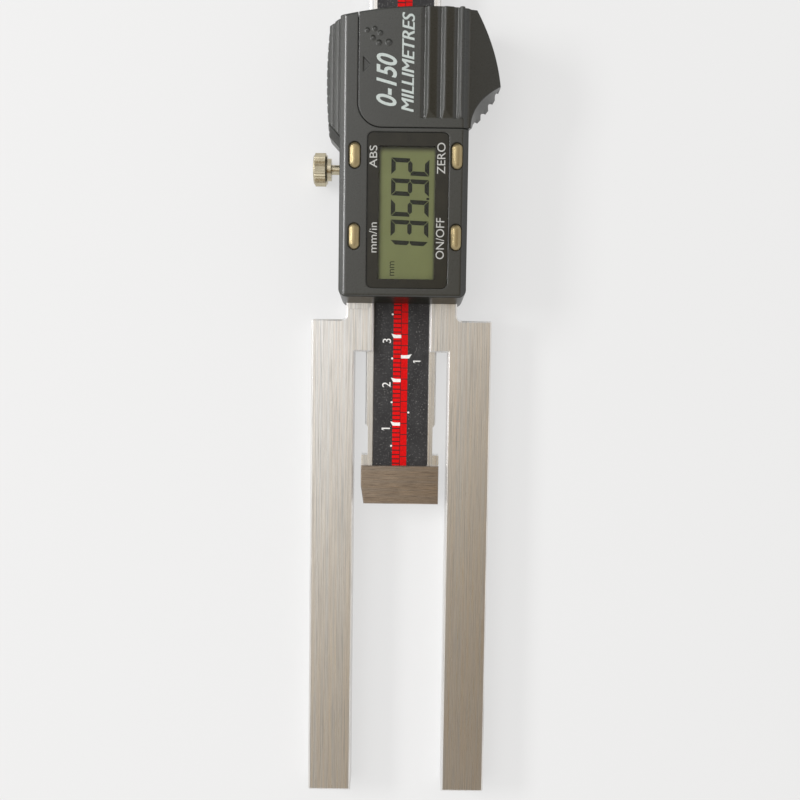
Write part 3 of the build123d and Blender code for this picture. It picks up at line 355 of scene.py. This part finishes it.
def letters(name, labels, z, finish, body, bold=0.0, shear=0.0):
    """Lettering that reads towards +Y. Each label is (text, x of its top, x of its foot, y from, y to) in mm,
    or (text, x of its top, x of its foot, y of its middle) for letters as wide as they are drawn."""
    faces = []
    for text, top, foot, start, *end in labels:
        curve = bpy.data.curves.new(name, "FONT")
        curve.body = text
        curve.offset = bold
        curve.shear = shear
        curve.resolution_u = 4
        shape = bpy.data.objects.new(name, curve)
        bpy.context.scene.collection.objects.link(shape)
        bpy.context.view_layer.update()
        flat = shape.to_mesh()
        us = [v.co.x for v in flat.vertices]
        vs = [v.co.y for v in flat.vertices]
        u0, u1, v0, v1 = min(us), max(us), min(vs), max(vs)
        wide = end[0] - start if end else (foot - top) * (u1 - u0) / (v1 - v0)
        start = start if end else start - wide / 2
        for p in flat.polygons:
            faces.append([(foot + (top - foot) * (flat.vertices[i].co.y - v0) / (v1 - v0),
                           start + wide * (flat.vertices[i].co.x - u0) / (u1 - u0))
                          for i in p.vertices])
        shape.to_mesh_clear()
        bpy.data.objects.remove(shape)
        bpy.data.curves.remove(curve)
    print_piece(name, faces, z, finish, body)


def bar(x0, x1, y0, y1):
    return [(x0, y0), (x1, y0), (x1, y1), (x0, y1)]


def dot(x, y, r):
    turns = [2 * i * math.pi / DOT_SIDES for i in range(DOT_SIDES)]
    return [(x + r * math.cos(a), y + r * math.sin(a)) for a in turns]


white_ink = ink("white_ink", (0.82, 0.82, 0.80))
grey_ink = ink("grey_ink", (0.47, 0.47, 0.45))
cover_ink = ink("cover_ink", (0.48, 0.53, 0.51))
dark_line = ink("dark_line", (0.10, 0.008, 0.01), 0.6)
red_metric = scale_red("red_metric", (0.74, 0.001, 0.002))
red_inch = scale_red("red_inch", (0.66, 0.001, 0.002))

# The two red columns of the scale, in mm: where they start and end along it, and their edges across it
low_m, high_m = 0.55, 227.8
left, middle, right = -1.80, -0.02, 1.46
METRIC_LINE, INCH_LINE = 0.14, 0.09        # half the thickness of the columns' fine lines
# How far the dark line between the columns reaches to the left and right of their border
BORDER_LEFT, BORDER_RIGHT = 0.12, 0.03
# Outlines of the long white marks, as (x, how far past the mark's place)
CM_MARK = ((-0.05, -0.36), (-0.05, 0.36), (-1.25, 0.36), (-2.3, 0.62), (-1.75, -0.36))
INCH_MARK = ((-0.05, -0.36), (1.8, -0.36), (2.4, 0.62), (1.25, 0.36), (-0.05, 0.36))
# The dots half way between them: their x, radius and number of sides
CM_DOT, INCH_DOT, DOT_RADIUS, DOT_SIDES = -2.05, 1.8, 0.24, 12
# Tops and feet of the numbers, and how far their middles stand before their marks
CM_TOP, CM_FOOT, INCH_TOP, INCH_FOOT = -4.25, -2.35, 2.75, 4.4
ONE_FIGURE, TWO_FIGURES, INCH_FIGURE = 1.0, 1.75, 0.95
# The short stroke of the figure 1: the x of its end in both columns and its width there, then how far
# before the figure's middle it leaves the top, from and to, and how far before it the end lies
CM_STROKE, INCH_STROKE, STROKE_WIDTH = -3.6, 3.3, 0.22
STROKE_FROM, STROKE_TO, STROKE_END = 0.08, 0.3, 0.42


def at(m):
    return SCALE_ZERO + m


def counts(step):
    """The numbers of the marks that stand step mm apart on the scale."""
    return range(1, int(high_m / step) + 1)


print_piece("print_metric", [bar(left, middle, at(low_m), at(high_m))], LABEL_Z + PRINT,
            red_metric, "beam")
print_piece("print_inch", [bar(middle, right, at(low_m), at(high_m))], LABEL_Z + PRINT,
            red_inch, "beam")
lines = [bar(left, middle - BORDER_LEFT, at(m) - METRIC_LINE, at(m) + METRIC_LINE) for m in counts(1)]
lines += [bar(middle, right, at(INCH / 10 * i) - INCH_LINE, at(INCH / 10 * i) + INCH_LINE)
          for i in counts(INCH / 10)]
lines.append(bar(middle - BORDER_LEFT, middle + BORDER_RIGHT, at(low_m), at(high_m)))
print_piece("print_lines", lines, LABEL_Z + 2 * PRINT, dark_line, "beam")
marks = []
for step, outline, dot_x in ((10, CM_MARK, CM_DOT), (INCH, INCH_MARK, INCH_DOT)):
    for count in counts(step):
        marks.append([(x, at(step * count) + past) for x, past in outline])
        marks.append(dot(dot_x, at(step * count) - step / 2, DOT_RADIUS))
for top, end, y in ((CM_TOP, CM_STROKE, at(10) - ONE_FIGURE),
                    (INCH_TOP, INCH_STROKE, at(INCH) - INCH_FIGURE)):
    marks.append([(top, y - STROKE_TO), (end - STROKE_WIDTH, y - STROKE_END), (end, y - STROKE_END),
                  (top, y - STROKE_FROM)])
print_piece("print_marks", marks, LABEL_Z + 3 * PRINT, white_ink, "beam")
numbers = [(str(cm), CM_TOP, CM_FOOT, at(10 * cm) - (ONE_FIGURE if cm < 10 else TWO_FIGURES))
           for cm in counts(10)]
numbers += [(str(inch), INCH_TOP, INCH_FOOT, at(INCH * inch) - INCH_FIGURE) for inch in counts(INCH)]
letters("print_numbers", numbers, LABEL_Z + 2 * PRINT, white_ink, "beam")

# Display: seven-segment digits that read towards +Y
DIGITS = {"1": "bc", "2": "abged", "3": "abgcd", "5": "afgcd", "9": "abcdfg"}


def segments(width, height, t, gap):
    """Outlines of the seven segments of a digit, t thick."""
    mid = height / 2
    foot = [(gap, 0), (width - gap, 0), (width - gap - t, t), (gap + t, t)]
    low_left = [(0, gap), (t, gap + t), (t, mid - t / 2 - gap), (t / 2, mid - gap), (0, mid - gap)]
    high_left = [(x, height - y) for x, y in low_left]
    return {
        "a": [(x, height - y) for x, y in foot],
        "b": [(width - x, y) for x, y in high_left],
        "c": [(width - x, y) for x, y in low_left],
        "d": foot,
        "e": low_left,
        "f": high_left,
        "g": [(gap + t / 2, mid), (gap + t, mid + t / 2), (width - gap - t, mid + t / 2),
              (width - gap - t / 2, mid), (width - gap - t, mid - t / 2), (gap + t, mid - t / 2)],
    }


digit_w, digit_h, slant, foot_x = 3.66, 8.2, 0.35, 5.52
first_digit, digit_step = 13.2, 4.41
segment_t, segment_gap = 0.95, 0.07
shapes = segments(digit_w, digit_h, segment_t, segment_gap)
lit = []
for place, digit in enumerate("13592"):
    start = first_digit + digit_step * place
    for key in DIGITS[digit]:
        lit.append([(foot_x - v, start + u + slant * v / digit_h) for u, v in shapes[key]])
# The decimal point
lit.append(bar(5.0, 5.6, 25.85, 26.32))
lcd_ink = ink("lcd_ink", (0.014, 0.016, 0.007), 0.5)
print_piece("display_digits", lit, LCD_Z + PRINT, lcd_ink, "slider")
letters("display_unit", [("mm", -2.75, -1.75, 9.5, 12.6)], LCD_Z + PRINT, lcd_ink, "slider")

# Lettering on the lens and on the battery cover
letters("lens_labels", [("ABS", -7.37, -5.72, 32.39, 37.10), ("ZERO", 7.12, 8.90, 31.23, 37.84),
                        ("mm/in", -7.3, -5.6, 14.36, 20.77), ("ON/OFF", 7.11, 8.90, 13.10, 21.89)],
        LENS_Z + PRINT, grey_ink, "slider")
letters("cover_range", [("0-150", -6.1, -1.7, 45.35, 56.4)], COVER_Z + PRINT, cover_ink,
        "battery_cover", 0.02, 0.35)
# Printed twice, a little apart, to make it bolder
for layer, shift in enumerate((0.0, 0.16)):
    letters(f"cover_unit_{layer}", [("MILLIMETRES", -0.7, 1.95, 44.15 + shift, 64.8 + shift)],
            COVER_Z + (1 + layer) * PRINT, cover_ink, "battery_cover", 0.0, 0.25)

# Floor, light and camera

FLOOR_REACH = 3.0
FLOOR_DROP = 0.0001        # keeps the floor clear of the part's back
GLOW_SHARE = 0.7           # how much of the floor's look is its glow
floor_mesh = bpy.data.meshes.new("floor")
floor_corners = [(x * FLOOR_REACH, y * FLOOR_REACH, 0) for x, y in ((-1, -1), (1, -1), (1, 1), (-1, 1))]
floor_mesh.from_pydata(floor_corners, [], [(0, 1, 2, 3)])
floor = bpy.data.objects.new("floor", floor_mesh)
floor.location.z = -FLOOR_DROP
bpy.context.scene.collection.objects.link(floor)
paper = Finish("paper")
cloud = paper.noise((240.0, 240.0, 240.0), 1.0)
paper.set(Base_Color=paper.ramp(cloud, (0.3, (0.74, 0.74, 0.74)), (0.7, (0.76, 0.76, 0.76))), Roughness=0.8,
          Specular_IOR_Level=0.0)
glow = paper.add("ShaderNodeEmission")
glow.inputs["Color"].default_value = (0.84, 0.84, 0.84, 1)
# The glow shows to the camera, in reflections and through glass, and adds no diffuse light
ray = paper.add("ShaderNodeLightPath").outputs
seen = paper.math("MAXIMUM", paper.math("MAXIMUM", ray["Is Camera Ray"], ray["Is Glossy Ray"]),
                  ray["Is Transmission Ray"])
paper.surface(paper.blend(paper.math("MULTIPLY", seen, GLOW_SHARE), paper.bsdf.outputs[0],
                          glow.outputs[0]))
floor_mesh.materials.append(paper.material)

# A sky that is bright on the left and towards +Y, warm and dark on the right, and white lower down
world = bpy.data.worlds.new("studio")
bpy.context.scene.world = world
world.use_nodes = True
sky = Nodes(world.node_tree)
way = sky.add("ShaderNodeSeparateXYZ")
sky.join(sky.add("ShaderNodeTexCoord").outputs["Generated"], way.inputs[0])
across = sky.math("MULTIPLY_ADD", way.outputs["X"], -2.0, 0.77)
along = sky.math("MULTIPLY_ADD", way.outputs["Y"], 1.15, across)
tone = sky.ramp(along, (0.2, (0.14, 0.075, 0.01)), (0.45, (0.33, 0.22, 0.085)), (0.66, (0.64, 0.55, 0.41)),
                (0.86, (0.95, 0.94, 0.91)), (1.0, (1.0, 1.0, 1.0)))
lower = sky.smooth(way.outputs["Z"], 0.85, 0.6)
back = world.node_tree.nodes["Background"].inputs
sky.join(sky.mix(lower, tone, (1.0, 1.0, 1.0)), back["Color"])
back["Strength"].default_value = 0.9


def lamp(name, place, size, power):
    """A lamp that faces the origin."""
    light = bpy.data.lights.new(name, "AREA")
    light.shape = "RECTANGLE"
    light.size, light.size_y = size
    light.energy = power
    piece = bpy.data.objects.new(name, light)
    bpy.context.scene.collection.objects.link(piece)
    piece.location = place
    piece.rotation_euler = (-Vector(place)).to_track_quat("-Z", "Y").to_euler()
    return piece


# The sill is only for the glint on the bevels that face it, and leaves the floor as it is
lamp("window_sill", (-0.3, 0.105, 0.01), (0.16, 0.02), 0.055).visible_diffuse = False
lamp("window", (-1.0, 0.25, 0.6), (0.52, 0.2), 10.0)
lamp("window_high", (-0.45, 0.15, 0.95), (1.0, 0.5), 2.0)

# The camera that was fitted to the photo
CAMERA_PLACE = (-0.000135, -0.002846, 0.2268)
PITCH, ROLL = -0.069088, 0.0134061
camera_data = bpy.data.cameras.new("camera")
camera_data.lens = 43.72
camera_data.sensor_width = 36.0
camera_data.clip_start = 0.01
camera = bpy.data.objects.new("camera", camera_data)
bpy.context.scene.collection.objects.link(camera)
camera.matrix_world = (Matrix.Translation(CAMERA_PLACE) @ Matrix.Rotation(PITCH, 4, "X")
                       @ Matrix.Rotation(ROLL, 4, "Z"))
bpy.context.scene.camera = camera
bpy.context.scene.view_settings.view_transform = "Standard"
